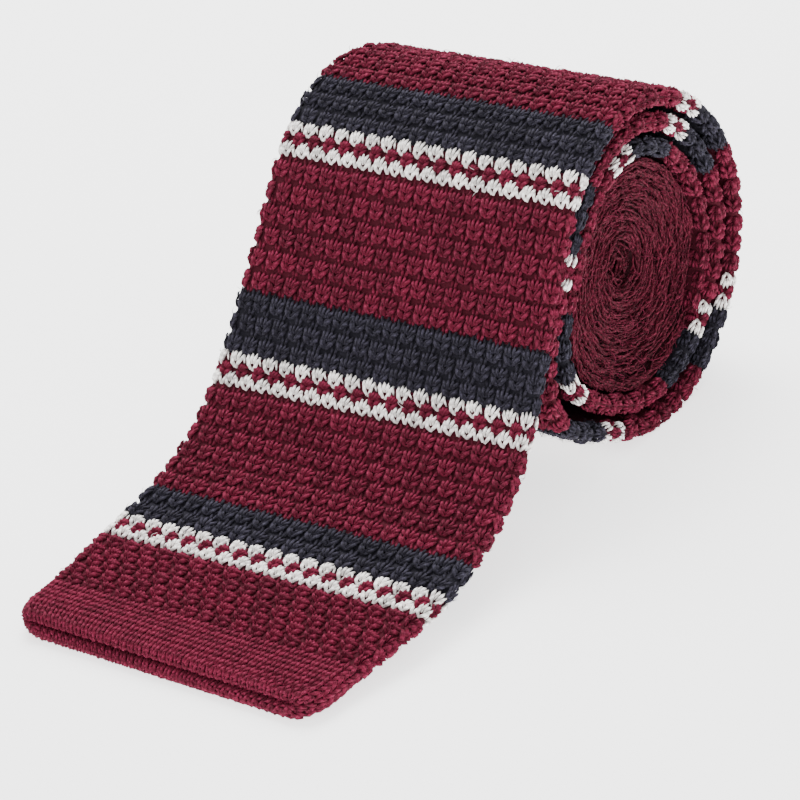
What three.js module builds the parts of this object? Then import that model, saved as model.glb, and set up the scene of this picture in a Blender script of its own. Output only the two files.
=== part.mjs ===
import * as THREE from "three";

// A striped knitted tie, rolled up from its narrow end, with the end of its blade lying out in front.
// The tie is a knitted tube pressed flat: two plies with a thin slit between them.
// Millimetres and radians. X runs across the tie, Y to the back, Z up.
// The origin is on the surface that the tie lies on, under the middle of the roll.

// Widths of the flattened tube
const HEM_WIDTH = 61;
const JOIN_WIDTH = 56;
const BLADE_END_WIDTH = 52;
const NECK_WIDTH = 42;

// Thicknesses, both plies together
const BLADE_THICKNESS = 3.1;
const HEM_THICKNESS = 4.2;
const NECK_THICKNESS = 1.2;
const SLIT = 0.4;
const SLIT_SHARE = 0.25;
const MOUTH_SLIT = 0.5;

// The hem: it eases into the thinner blade, its lower ply reaches past the upper one, both have round
// corners, and the right edge draws in towards it
const HEM_LENGTH = 7.3;
const HEM_EASE = 3;
const HEM_LIP = 1;
const HEM_CORNER = 5;
const HEM_TUCK = 5;
const HEM_TUCK_LENGTH = 28;

// The stripes, measured along the tie as it was knitted
const FIRST_BURGUNDY = 13.7;
const WHITE_LENGTH = 4.8;
const NAVY_LENGTH = 9.2;
const BURGUNDY_LENGTH = 18.8;
const BLADE_REPEATS = 11;
const PLAIN_END = 8.4;
const BAND_GAP = 0.3;

// The roll, by the middle of the tie's thickness
const ROLL_RADIUS = 26.8;
const REACH_SHARE = 3.254;
const JOIN_ANGLE = THREE.MathUtils.degToRad(47);
const BLADE_TURNS = 2.5;
const WRAP_SLACK = 0.65;
const JOIN_SLACK = 0.8;
const NECK_SLACK = 0.4;
const CORE_RADIUS = 3.9;
const REST_FLATTENING = 0.5;
const NECK_EASE_TURNS = 0.25;

// How far each later turn stands back from the roll's right end
const BLADE_RECESS = 2;
const NECK_STEP = 1.5;
const CORE_RECESS = 3;

// Fineness of the solids
const BLADE_STEP = 5.2;
const STEPS_PER_TURN = 36;
const NECK_STEPS_PER_TURN = 22;
const CORNER_STEPS = 6;
const SAMPLES_PER_SPAN = 12;

// Route of the blade from its hem to the roll: shares of the way back and of the rise to the join
const RAMP_ROWS = [
  { back: 0, rise: 0 },
  { back: 0.113, rise: 0.012 },
  { back: 0.284, rise: 0.055 },
  { back: 0.466, rise: 0.11 },
  { back: 0.589, rise: 0.19 },
  { back: 0.696, rise: 0.332 },
  { back: 0.824, rise: 0.602 },
];

// How far the soft roll is from round: shares of the local radius, angle from the front over the top
const ROUNDNESS_ROWS = [
  { at: 0, share: 0.03 },
  { at: 17, share: -0.05 },
  { at: 40, share: -0.088 },
  { at: 62, share: -0.05 },
  { at: 92, share: 0 },
  { at: 130, share: -0.005 },
  { at: 180, share: -0.005 },
  { at: 225, share: -0.03 },
  { at: 268, share: 0 },
  { at: 300, share: 0.015 },
  { at: 335, share: 0.07 },
];

// Loose folds where the outer turns sag forward under the blade: shares of the roll's radius
const BULGE_ROWS = [
  { turn: 0.815, spread: 0.105, height: 0.115 },
  { turn: 1.82, spread: 0.1, height: 0.045 },
];

// Where the core lies from the roll's centre: shares of the roll's radius
const CORE_SHIFT = { back: 0.035, up: -0.015 };

// Turn of the knitted rows about the vertical: share of the way to the join, radians
const YAW_ROWS = [
  { at: 0, share: 0 },
  { at: 0.25, share: 0.02 },
  { at: 0.58, share: 0.015 },
  { at: 0.74, share: -0.005 },
  { at: 0.875, share: -0.025 },
  { at: 1, share: -0.035 },
  { at: 1.156, share: -0.04 },
];

// How much the bands of each repeat on the ramp are pulled out of their knitted length
const STRETCH_ROWS = [
  { white: 0.92, navy: 0.78, burgundy: 1 },
  { white: 1.1, navy: 1.05, burgundy: 1.08 },
  { white: 1.1, navy: 1, burgundy: 1 },
];

const COLOURS = {
  burgundy: new THREE.Color(0x602130),
  navy: new THREE.Color(0x2c2a30),
  white: new THREE.Color(0xf2eaea),
};

function smoothStep(value) {
  return THREE.MathUtils.smoothstep(value, 0, 1);
}

// A smooth curve through the rows of a table, flat past its ends
function readTable(rows, at) {
  const last = rows.length - 1;
  const place = THREE.MathUtils.clamp(at, rows[0].at, rows[last].at);
  const found = rows.findIndex((row) => row.at > place);
  const next = found < 0 ? last : found;
  const [before, from, to, after] = [next - 2, next - 1, next, next + 1].map(
    (index) => rows[THREE.MathUtils.clamp(index, 0, last)],
  );
  const span = to.at - from.at;
  const part = (place - from.at) / span;
  const slopeIn = ((to.share - before.share) / (to.at - before.at)) * span;
  const slopeOut = ((after.share - from.share) / (after.at - from.at)) * span;
  const squared = part * part;
  const cubed = squared * part;
  return (
    (2 * cubed - 3 * squared + 1) * from.share +
    (cubed - 2 * squared + part) * slopeIn +
    (3 * squared - 2 * cubed) * to.share +
    (cubed - squared) * slopeOut
  );
}

// The roundness table repeats every full circle
const ROUND_TABLE = [-360, 0, 360].flatMap((offset) =>
  ROUNDNESS_ROWS.map((row) => ({ at: row.at + offset, share: row.share })),
);

function roundness(angle) {
  return readTable(ROUND_TABLE, THREE.MathUtils.euclideanModulo(THREE.MathUtils.radToDeg(angle), 360));
}

// Thickness and looseness by turns from the join: the blade's end thins down to the neck band
function neckShare(turn) {
  return smoothStep((turn - BLADE_TURNS + NECK_EASE_TURNS) / NECK_EASE_TURNS);
}

function wrapThickness(turn) {
  return THREE.MathUtils.lerp(BLADE_THICKNESS, NECK_THICKNESS, neckShare(turn));
}

function wrapSlack(turn) {
  return THREE.MathUtils.lerp(WRAP_SLACK, NECK_SLACK, neckShare(turn));
}

// Radius of each step of the spiral: every turn lies inside the one before it, down to the core
function wrapRadii() {
  const radii = [];
  for (let step = 0; radii.length === 0 || radii.at(-1) > CORE_RADIUS; step += 1) {
    const turn = step / STEPS_PER_TURN;
    if (turn < 1) {
      radii.push(ROLL_RADIUS - (BLADE_THICKNESS + WRAP_SLACK + JOIN_SLACK) * turn);
      continue;
    }
    const plies = (wrapThickness(turn - 1) + wrapThickness(turn)) / 2;
    const inside = radii[step - STEPS_PER_TURN] - plies - wrapSlack(turn);
    radii.push(Math.min(inside, radii[step - 1]));
  }
  return radii;
}

const RADII = wrapRadii();
const BLADE_END_STEP = Math.round(BLADE_TURNS * STEPS_PER_TURN);

// Share of the blade's shape that a turn keeps: whole on the blade, none at the core
function shapeKept(step) {
  const bladeEnd = RADII[BLADE_END_STEP];
  return THREE.MathUtils.clamp((RADII[step] - CORE_RADIUS) / (bladeEnd - CORE_RADIUS), 0, 1);
}

function bulge(turn) {
  return BULGE_ROWS.reduce((sum, row) => {
    const away = Math.abs(turn - row.turn) / row.spread;
    return sum + (away < 1 ? row.height * ROLL_RADIUS * Math.cos((away * Math.PI) / 2) ** 2 : 0);
  }, 0);
}

function stepAngle(step) {
  return JOIN_ANGLE + (2 * Math.PI * step) / STEPS_PER_TURN;
}

function stepRadius(step) {
  return RADII[step] * (1 + roundness(stepAngle(step)) * shapeKept(step)) + bulge(step / STEPS_PER_TURN);
}

// The roll rests on the lowest part of its outer turn, which is pressed a little flat
const LOWEST_STEP = Math.round(((1.5 * Math.PI - JOIN_ANGLE) / (2 * Math.PI)) * STEPS_PER_TURN);
const ROLL_HEIGHT = stepRadius(LOWEST_STEP) + BLADE_THICKNESS / 2 - REST_FLATTENING;

function rollPoint(step) {
  const radius = stepRadius(step);
  const angle = stepAngle(step);
  const lost = ROLL_RADIUS * (1 - shapeKept(step));
  const y = -radius * Math.cos(angle) + CORE_SHIFT.back * lost;
  const z = ROLL_HEIGHT + radius * Math.sin(angle) + CORE_SHIFT.up * lost;
  return new THREE.Vector3(0, y, z);
}

// The line through the middle of the tie's thickness, from the tip of the hem to the core
function middleLine() {
  const hem = new THREE.Vector3(0, -REACH_SHARE * ROLL_RADIUS, HEM_THICKNESS / 2);
  const join = rollPoint(0);
  const ramp = RAMP_ROWS.map(
    (row) =>
      new THREE.Vector3(
        0,
        THREE.MathUtils.lerp(hem.y, join.y, row.back),
        THREE.MathUtils.lerp(hem.z, join.z, row.rise),
      ),
  );
  const roll = RADII.map((_, step) => rollPoint(step));
  const curve = new THREE.CatmullRomCurve3([...ramp, ...roll], false, "centripetal");
  curve.arcLengthDivisions = SAMPLES_PER_SPAN * (ramp.length + roll.length - 1);
  return curve;
}

const MIDDLE = middleLine();
const TIE_LENGTH = MIDDLE.getLength();

// Length along the middle line at a point of the roll
function lengthAtStep(step) {
  const lengths = MIDDLE.getLengths();
  return lengths[SAMPLES_PER_SPAN * (RAMP_ROWS.length + step)];
}

const JOIN_AT = lengthAtStep(0);
const BLADE_END = lengthAtStep(BLADE_END_STEP);
const THINNING_FROM = lengthAtStep(Math.round((BLADE_TURNS - NECK_EASE_TURNS) * STEPS_PER_TURN));

function hemTuck(along) {
  return HEM_TUCK * (1 - smoothStep(along / HEM_TUCK_LENGTH));
}

function tubeWidth(along) {
  if (along < JOIN_AT) {
    return THREE.MathUtils.lerp(HEM_WIDTH, JOIN_WIDTH, along / JOIN_AT) - hemTuck(along);
  }
  return THREE.MathUtils.lerp(JOIN_WIDTH, BLADE_END_WIDTH, (along - JOIN_AT) / (BLADE_END - JOIN_AT));
}

// The right edges lie almost flush at the roll's end, so the narrowing is all on the left there
function rightEdge(along) {
  if (along < JOIN_AT) {
    return (tubeWidth(along) - hemTuck(along)) / 2;
  }
  return JOIN_WIDTH / 2 - (BLADE_RECESS * (along - JOIN_AT)) / (BLADE_END - JOIN_AT);
}

function neckRightEdge(along) {
  const edge = JOIN_WIDTH / 2 - BLADE_RECESS - NECK_STEP;
  return edge - (CORE_RECESS * (along - BLADE_END)) / (TIE_LENGTH - BLADE_END);
}

function tubeThickness(along) {
  const plain = HEM_LENGTH - HEM_EASE;
  const hem = 1 - smoothStep((along - plain) / (2 * HEM_EASE));
  const thinning = smoothStep((along - THINNING_FROM) / (BLADE_END - THINNING_FROM));
  const blade = THREE.MathUtils.lerp(BLADE_THICKNESS, NECK_THICKNESS, thinning);
  return THREE.MathUtils.lerp(blade, HEM_THICKNESS, hem);
}

// A point of the tie: along its length, across its width, and out from the middle of its thickness.
// What would reach below the surface is pressed flat on it.
function tiePoint(along, across, out) {
  const share = along / TIE_LENGTH;
  const point = MIDDLE.getPointAt(share);
  const tangent = MIDDLE.getTangentAt(share);
  const yaw = readTable(YAW_ROWS, along / JOIN_AT);
  const y = point.y - tangent.z * out + across * Math.sin(yaw);
  const z = Math.max(0, point.z + tangent.y * out);
  return [across, y, z];
}

// Outline of the flattened tube with rounded folds, from its lower left over the right to the upper left
function tubeOutline(left, right, thickness) {
  const half = thickness / 2;
  const corner = half * Math.SQRT1_2;
  return [
    [left + half, -half],
    [right - half, -half],
    [right - half + corner, -corner],
    [right, 0],
    [right - half + corner, corner],
    [right - half, half],
    [left + half, half],
    [left + half - corner, corner],
    [left, 0],
    [left + half - corner, -corner],
  ];
}

// Outline of the slit between the plies
function slitOutline(left, right, thickness, slit) {
  const wall = (thickness - slit) / 2;
  return [
    [left + wall, -slit / 2],
    [right - wall, -slit / 2],
    [right - wall, slit / 2],
    [left + wall, slit / 2],
  ];
}

// Joins rows of outlines into one closed body, open inside where the rows have a slit
function closedBody(rows, place) {
  const positions = rows.flatMap((row) => [...row.outer, ...row.inner].flatMap((spot) => place(row, spot)));
  const outerCount = rows[0].outer.length;
  const rowCount = outerCount + rows[0].inner.length;
  const faces = [];
  const addWall = (first, count, inward) => {
    for (let row = 0; row + 1 < rows.length; row += 1) {
      for (let spot = 0; spot < count; spot += 1) {
        const near = row * rowCount + first + spot;
        const beside = row * rowCount + first + ((spot + 1) % count);
        const far = near + rowCount;
        const across = beside + rowCount;
        const corners = [near, across, beside, near, far, across];
        faces.push(...(inward ? corners.reverse() : corners));
      }
    }
  };
  addWall(0, outerCount, false);
  addWall(outerCount, rowCount - outerCount, true);
  for (const end of [0, rows.length - 1]) {
    const outer = rows[end].outer.map(([x, y]) => new THREE.Vector2(x, y));
    const inner = rows[end].inner.map(([x, y]) => new THREE.Vector2(x, y));
    const spots = [...outer, ...inner];
    for (const [a, b, c] of THREE.ShapeUtils.triangulateShape(outer, inner.length > 0 ? [inner] : [])) {
      const turnsLeft = THREE.ShapeUtils.area([spots[a], spots[b], spots[c]]) > 0;
      const face = turnsLeft === (end === 0) ? [a, b, c] : [a, c, b];
      faces.push(...face.map((spot) => end * rowCount + spot));
    }
  }
  const geometry = new THREE.BufferGeometry();
  geometry.setAttribute("position", new THREE.Float32BufferAttribute(positions, 3));
  geometry.setIndex(faces);
  geometry.computeVertexNormals();
  return geometry;
}

function evenSteps(from, to, step) {
  const count = Math.max(1, Math.ceil((to - from) / step));
  return Array.from({ length: count + 1 }, (_, index) => from + ((to - from) * index) / count);
}

function bandRow(along) {
  const right = rightEdge(along);
  const left = right - tubeWidth(along);
  const thickness = tubeThickness(along);
  const slit = Math.min(SLIT, thickness * SLIT_SHARE);
  const outer = tubeOutline(left, right, thickness);
  return { along, outer, inner: slitOutline(left, right, thickness, slit) };
}

function bandGeometry(from, to) {
  const rows = evenSteps(from + BAND_GAP / 2, to - BAND_GAP / 2, BLADE_STEP).map(bandRow);
  return closedBody(rows, (row, [across, out]) => tiePoint(row.along, across, out));
}

// The hem's rows close in round its corners, and its upper ply starts a lip's length further in
function hemRow(along) {
  const short = HEM_CORNER - Math.min(along, HEM_CORNER);
  const inset = HEM_CORNER - Math.sqrt(HEM_CORNER ** 2 - short ** 2);
  const right = rightEdge(along) - inset;
  const left = rightEdge(along) - tubeWidth(along) + inset;
  const thickness = tubeThickness(along);
  const slit = THREE.MathUtils.lerp(MOUTH_SLIT, SLIT, smoothStep(along / HEM_LENGTH));
  const outer = tubeOutline(left, right, thickness);
  return { along, outer, inner: slitOutline(left, right, thickness, slit) };
}

function hemGeometry() {
  const quarter = Math.PI / 2;
  const angles = evenSteps(0, quarter, quarter / CORNER_STEPS);
  const corner = angles.map((angle) => HEM_CORNER * (1 - Math.cos(angle)));
  const end = HEM_LENGTH - BAND_GAP / 2;
  const rows = [...corner, (HEM_CORNER + end) / 2, end].map(hemRow);
  return closedBody(rows, (row, [across, out]) => {
    const upper = out === 0 ? 0.5 : Number(out > 0);
    const lip = HEM_LIP * upper * (1 - row.along / end);
    return tiePoint(row.along + lip, across, out);
  });
}

function neckRow(along) {
  const right = neckRightEdge(along);
  return { along, outer: tubeOutline(right - NECK_WIDTH, right, NECK_THICKNESS), inner: [] };
}

// The neck band is one plain band: its two fine plies are pressed together in the roll
function neckGeometry() {
  const lastStep = RADII.length - 1;
  const neckTurns = (lastStep - BLADE_END_STEP) / STEPS_PER_TURN;
  const turnStep = neckTurns / Math.ceil(neckTurns * NECK_STEPS_PER_TURN);
  const places = evenSteps(0, neckTurns, turnStep).map((turns) => {
    const step = BLADE_END_STEP + turns * STEPS_PER_TURN;
    const low = Math.min(Math.floor(step), lastStep - 1);
    return THREE.MathUtils.lerp(lengthAtStep(low), lengthAtStep(low + 1), step - low);
  });
  places[0] += BAND_GAP / 2;
  return closedBody(places.map(neckRow), (row, [across, out]) => tiePoint(row.along, across, out));
}

const tie = new THREE.Group();

function addPiece(name, geometry, colour) {
  const wool = new THREE.MeshStandardMaterial({ color: COLOURS[colour], roughness: 0.95, metalness: 0 });
  const mesh = new THREE.Mesh(geometry, wool);
  mesh.name = name;
  tie.add(mesh);
}

function addBand(colour, count, from, to) {
  addPiece(`${colour}_band_${count}`, bandGeometry(from, to), colour);
}

// White, navy and burgundy bands follow each other up to the neck band. Those past the ramp share the
// rest of the blade, and the last burgundy band has a plain end.
function addStripes() {
  const repeat = WHITE_LENGTH + NAVY_LENGTH + BURGUNDY_LENGTH;
  const onRamp = STRETCH_ROWS.reduce(
    (sum, row) => sum + WHITE_LENGTH * row.white + NAVY_LENGTH * row.navy + BURGUNDY_LENGTH * row.burgundy,
    HEM_LENGTH + FIRST_BURGUNDY,
  );
  const inRoll = (BLADE_REPEATS - STRETCH_ROWS.length) * repeat + PLAIN_END;
  const rolled = (BLADE_END - onRamp) / inRoll;
  let start = HEM_LENGTH + FIRST_BURGUNDY;
  addBand("burgundy", 1, HEM_LENGTH, start);
  for (let count = 1; count <= BLADE_REPEATS; count += 1) {
    const stretch = STRETCH_ROWS[count - 1] ?? { white: rolled, navy: rolled, burgundy: rolled };
    const navyFrom = start + WHITE_LENGTH * stretch.white;
    const burgundyFrom = navyFrom + NAVY_LENGTH * stretch.navy;
    const end = count < BLADE_REPEATS ? burgundyFrom + BURGUNDY_LENGTH * stretch.burgundy : BLADE_END;
    addBand("white", count, start, navyFrom);
    addBand("navy", count, navyFrom, burgundyFrom);
    addBand("burgundy", count + 1, burgundyFrom, end);
    start = end;
  }
}

addPiece("hem_band", hemGeometry(), "burgundy");
addStripes();
addPiece("neck_band", neckGeometry(), "burgundy");

export default tie;
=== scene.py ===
import math

import bpy
import numpy as np
from mathutils import Matrix


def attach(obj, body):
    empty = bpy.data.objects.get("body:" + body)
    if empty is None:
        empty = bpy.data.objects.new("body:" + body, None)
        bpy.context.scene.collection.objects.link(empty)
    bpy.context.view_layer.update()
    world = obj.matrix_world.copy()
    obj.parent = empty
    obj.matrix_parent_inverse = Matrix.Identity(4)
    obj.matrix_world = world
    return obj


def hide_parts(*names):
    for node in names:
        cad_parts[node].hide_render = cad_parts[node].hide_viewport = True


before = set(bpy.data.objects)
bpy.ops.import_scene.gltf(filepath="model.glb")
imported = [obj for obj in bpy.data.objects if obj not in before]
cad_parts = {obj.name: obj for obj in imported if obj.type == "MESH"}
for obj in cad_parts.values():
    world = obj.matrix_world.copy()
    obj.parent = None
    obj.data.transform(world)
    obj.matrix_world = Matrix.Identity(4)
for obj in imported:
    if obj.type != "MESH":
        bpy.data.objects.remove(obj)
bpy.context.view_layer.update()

MM = 0.001
NEARLY_NOTHING = 1e-6

# Sizes of the tie, in millimetres, as its solids have them
HEM_WIDTH = 61.0
JOIN_WIDTH = 56.0
BLADE_END_WIDTH = 52.0
NECK_WIDTH = 42.0
BLADE_THICKNESS = 3.1
HEM_THICKNESS = 4.2
NECK_THICKNESS = 1.2
HEM_LENGTH = 7.3
HEM_EASE = 3.0
HEM_LIP = 1.0
HEM_CORNER = 5.0
HEM_TUCK = 5.0
HEM_TUCK_LENGTH = 28.0
FIRST_BURGUNDY = 13.7
WHITE_LENGTH = 4.8
NAVY_LENGTH = 9.2
BURGUNDY_LENGTH = 18.8
BLADE_REPEATS = 11
PLAIN_END = 8.4
ROLL_RADIUS = 26.8
REACH_SHARE = 3.254
JOIN_ANGLE = math.radians(47)
BLADE_TURNS = 2.5
WRAP_SLACK = 0.65
JOIN_SLACK = 0.8
NECK_SLACK = 0.4
CORE_RADIUS = 3.9
REST_FLATTENING = 0.5
NECK_EASE_TURNS = 0.25
BLADE_RECESS = 2.0
NECK_STEP = 1.5
CORE_RECESS = 3.0
STEPS_PER_TURN = 36
SAMPLES_PER_SPAN = 12

# Share of the way back and of the rise, from the hem to the roll
RAMP_ROWS = (
    (0, 0),
    (0.113, 0.012),
    (0.284, 0.055),
    (0.466, 0.11),
    (0.589, 0.19),
    (0.696, 0.332),
    (0.824, 0.602),
)

# Angle from the front over the top, share of the local radius
ROUNDNESS_ROWS = (
    (0, 0.03),
    (17, -0.05),
    (40, -0.088),
    (62, -0.05),
    (92, 0),
    (130, -0.005),
    (180, -0.005),
    (225, -0.03),
    (268, 0),
    (300, 0.015),
    (335, 0.07),
)

# Turn from the join, spread in turns, height as a share of the roll's radius
BULGE_ROWS = ((0.815, 0.105, 0.115), (1.82, 0.1, 0.045))
CORE_SHIFT_BACK = 0.035
CORE_SHIFT_UP = -0.015

# Share of the way to the join, turn of the knitted rows about the vertical
YAW_ROWS = (
    (0, 0),
    (0.25, 0.02),
    (0.58, 0.015),
    (0.74, -0.005),
    (0.875, -0.025),
    (1, -0.035),
    (1.156, -0.04),
)

# Stretch of the white, navy and burgundy bands of each repeat on the ramp
STRETCH_ROWS = ((0.92, 0.78, 1), (1.1, 1.05, 1.08), (1.1, 1, 1))

# The bobble knit: its columns go once round the tube
COLUMNS = 38
ROW_PITCH = 3.15
BOBBLE_WIDTH = 3.3
BOBBLE_DEPTH = 0.95
STITCH_SINK = 0.28
FULLNESS = 1.01
RELIEF = {"burgundy": 1.0, "navy": 0.64, "white": 1.0}
TWIST_PITCH = 1.05
ROW_PAST_BAND = 0.75

# Its stitches by the hem and round the folds
HEM_ROW_PITCH = 2.25
HEM_ROW_TALL = 0.84
HEM_STITCH_WIDE = 0.88
HEM_RELIEF = 1.45
FOLD_STITCH_WIDE = 0.78
FOLD_STITCH_REACH = 0.6
DOT_WIDE = 0.74

# Where stitches show: columns beside a fold and beside the core, lengths along the tie
FOLD_COLUMNS = 1.3
CORE_COLUMNS = 7
UNDER_PLY_FROM = 40
UNDER_PLY_PAST_JOIN = 6
OUTER_PLY_PAST_TURN = 4
LAST_TURN = 125

# The ground under the stitches
GROUND_DEPTH = 0.8
FOLD_GROUND_DEPTH = 0.28
FOLD_EASE_COLUMNS = 1.2
GROUND_WALL = 0.25
GROUND_STEP = 2.6
GROUND_COLUMNS = 48
GROUND_UNDER_HEM = 2
GROUND_END_GAP = 0.02
GROUND_LEAST = 0.15
SLIT_LEAST = 0.05
# Depth given to the walls under the stitches, which paints them with the root colour as painted shade
WALL_SHADE = 0.1
WALL_TONE = 0.4

# Loose hairs
HAIRS_PER_MM = {"burgundy": 9, "navy": 26, "white": 1}
HAIR_COLUMNS_PAST_FOLD = 1.5
HAIR_SIZES = (0.6, 1.3)
# Depth given to hairs beyond the stitches' tops, which paints them with the painted highlight colour
HAIR_LIGHT = 1.6
NECK_HAIRS = 1100
NECK_HAIR_LENGTH = 1.8
NECK_HAIR_COLUMNS = 0.9

# The fine knit of the hem
FINE_COLUMNS = 76
FINE_STITCH_WIDTH = 1.68
COURSE = 1.2
FINE_DEPTH = 0.5
HEM_TOP = 9.8
HEM_INSIDE = -5.0
HEM_WALL = HEM_THICKNESS / 2 + 0.15
HEM_WALL_BELOW_TOP = 0.4
HEM_WALL_STEP = 0.6
HEM_FOLD_COLUMNS = 4
HEM_UNDER_TO = 2

# The neck band: its wall, the yarns wound over its folds, and the curls in the heart of the roll
NECK_COLUMNS = 50
NECK_END_GAP = 0.2
NECK_ROW_STEP = 1.5
NECK_FOLD_REACH = 0.55
NECK_SWELL = 0.16
NECK_INSET = 0.9
# Depth given to the neck band's wall, which paints it with the root colour as painted shade
NECK_WALL_SHADE = 0.2
RIGHT_YARNS_PER_MM = 4.5
LEFT_YARNS_PER_MM = 2.2
YARN_COLUMNS = 0.72
YARN_RISE = (-0.45, 0.15)
YARN_SIZES = (0.8, 1.15)
CURLS = 260
CURLS_ALONG = (30, 2)
CURL_COLUMNS = 14
CURLS_FROM_FOLD = 0.8
CURL_RISE = 3.2

# The camera, fitted to the photograph, and the lamps: name, place, size and power
CAMERA_PLACE = (0.24326, -0.30033, 0.21303)
CAMERA_BACK = (0.5867, -0.6518, 0.4806)
CAMERA_RIGHT = (0.7900, 0.5912, -0.1626)
CAMERA_LENS = 126.16
LAMPS = (
    ("window", (-0.25, 0.35, 0.75), 0.6, 12.5),
    ("fill", (0.45, -0.75, 0.5), 0.8, 2.5),
)
FLOOR_SIZE = 3
FLOOR_GLOW = 1.9
SKY_STRENGTH = 1.05


def smooth_step(value):
    value = np.clip(value, 0, 1)
    return value * value * (3 - 2 * value)


def mix(low, high, share):
    return low + (high - low) * share


# A smooth curve through the rows of a table, flat past its ends
def read_table(rows, at):
    last = len(rows) - 1
    place = min(max(at, rows[0][0]), rows[last][0])
    following = next((i for i, row in enumerate(rows) if row[0] > place), last)
    indices = (following - 2, following - 1, following, following + 1)
    before, start, end, after = (rows[min(max(i, 0), last)] for i in indices)
    span = end[0] - start[0]
    part = (place - start[0]) / span
    slope_in = (end[1] - before[1]) / (end[0] - before[0]) * span
    slope_out = (after[1] - start[1]) / (after[0] - start[0]) * span
    squared = part * part
    cubed = squared * part
    return (
        (2 * cubed - 3 * squared + 1) * start[1]
        + (cubed - 2 * squared + part) * slope_in
        + (3 * squared - 2 * cubed) * end[1]
        + (cubed - squared) * slope_out
    )


ROUND_TABLE = [(at + circle, share) for circle in (-360, 0, 360) for at, share in ROUNDNESS_ROWS]


def neck_share(turn):
    return float(smooth_step((turn - BLADE_TURNS + NECK_EASE_TURNS) / NECK_EASE_TURNS))


def wrap_thickness(turn):
    return mix(BLADE_THICKNESS, NECK_THICKNESS, neck_share(turn))


# Radius of each step of the spiral: every turn lies inside the one before it, down to the core
def wrap_radii():
    radii = []
    while not radii or radii[-1] > CORE_RADIUS:
        step = len(radii)
        turn = step / STEPS_PER_TURN
        if turn < 1:
            radii.append(ROLL_RADIUS - (BLADE_THICKNESS + WRAP_SLACK + JOIN_SLACK) * turn)
            continue
        plies = (wrap_thickness(turn - 1) + wrap_thickness(turn)) / 2
        slack = mix(WRAP_SLACK, NECK_SLACK, neck_share(turn))
        radii.append(min(radii[step - STEPS_PER_TURN] - plies - slack, radii[-1]))
    return radii


RADII = wrap_radii()
BLADE_END_STEP = round(BLADE_TURNS * STEPS_PER_TURN)


def shape_kept(step):
    blade_end = RADII[BLADE_END_STEP]
    return min(max((RADII[step] - CORE_RADIUS) / (blade_end - CORE_RADIUS), 0), 1)


def bulge(turn):
    total = 0
    for centre, spread, height in BULGE_ROWS:
        away = abs(turn - centre) / spread
        if away < 1:
            total += height * ROLL_RADIUS * math.cos(away * math.pi / 2) ** 2
    return total


def step_angle(step):
    return JOIN_ANGLE + 2 * math.pi * step / STEPS_PER_TURN


def step_radius(step):
    uneven = read_table(ROUND_TABLE, math.degrees(step_angle(step)) % 360)
    return RADII[step] * (1 + uneven * shape_kept(step)) + bulge(step / STEPS_PER_TURN)


LOWEST_STEP = round((1.5 * math.pi - JOIN_ANGLE) / (2 * math.pi) * STEPS_PER_TURN)
ROLL_HEIGHT = step_radius(LOWEST_STEP) + BLADE_THICKNESS / 2 - REST_FLATTENING


def roll_point(step):
    radius = step_radius(step)
    angle = step_angle(step)
    lost = ROLL_RADIUS * (1 - shape_kept(step))
    back = -radius * math.cos(angle) + CORE_SHIFT_BACK * lost
    return back, ROLL_HEIGHT + radius * math.sin(angle) + CORE_SHIFT_UP * lost


# A smooth line through points, by pairs of tangents that suit their uneven distances
def smooth_line(points):
    line = []
    for i in range(len(points) - 1):
        start, end = points[i], points[i + 1]
        before = points[i - 1] if i else 2 * start - end
        after = points[i + 2] if i + 2 < len(points) else 2 * end - start
        gaps = [max(np.linalg.norm(gap), 1e-4) ** 0.5 for gap in (start - before, end - start, after - end)]
        first, middle, last = gaps
        straight = (end - start) / middle
        leaving = ((start - before) / first - (end - before) / (first + middle) + straight) * middle
        arriving = (straight - (after - start) / (middle + last) + (after - end) / last) * middle
        for part in np.arange(SAMPLES_PER_SPAN) / SAMPLES_PER_SPAN:
            squared = part * part
            cubed = squared * part
            line.append(
                (2 * cubed - 3 * squared + 1) * start
                + (cubed - 2 * squared + part) * leaving
                + (3 * squared - 2 * cubed) * end
                + (cubed - squared) * arriving
            )
    line.append(points[-1])
    return np.array(line)


def route_points():
    join = roll_point(0)
    hem = (-REACH_SHARE * ROLL_RADIUS, HEM_THICKNESS / 2)
    ramp = [(mix(hem[0], join[0], back), mix(hem[1], join[1], rise)) for back, rise in RAMP_ROWS]
    return np.array(ramp + [roll_point(step) for step in range(len(RADII))])


MIDDLE = smooth_line(route_points())
LENGTHS = np.concatenate([[0], np.cumsum(np.linalg.norm(np.diff(MIDDLE, axis=0), axis=1))])
TIE_LENGTH = LENGTHS[-1]


def length_at_step(step):
    return LENGTHS[SAMPLES_PER_SPAN * (len(RAMP_ROWS) + step)]


JOIN_AT = length_at_step(0)
BLADE_END = length_at_step(BLADE_END_STEP)
THINNING_FROM = length_at_step(round((BLADE_TURNS - NECK_EASE_TURNS) * STEPS_PER_TURN))
ONE_TURN_AT = length_at_step(STEPS_PER_TURN)
YAWS = np.array([read_table(YAW_ROWS, length / JOIN_AT) for length in LENGTHS])


def middle_at(along):
    return np.stack([np.interp(along, LENGTHS, MIDDLE[:, 0]), np.interp(along, LENGTHS, MIDDLE[:, 1])], -1)


def direction_at(along, reach=0.5):
    ahead = middle_at(np.clip(along + reach, 0, TIE_LENGTH))
    way = ahead - middle_at(np.clip(along - reach, 0, TIE_LENGTH))
    return way / np.linalg.norm(way, axis=-1, keepdims=True)


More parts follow.
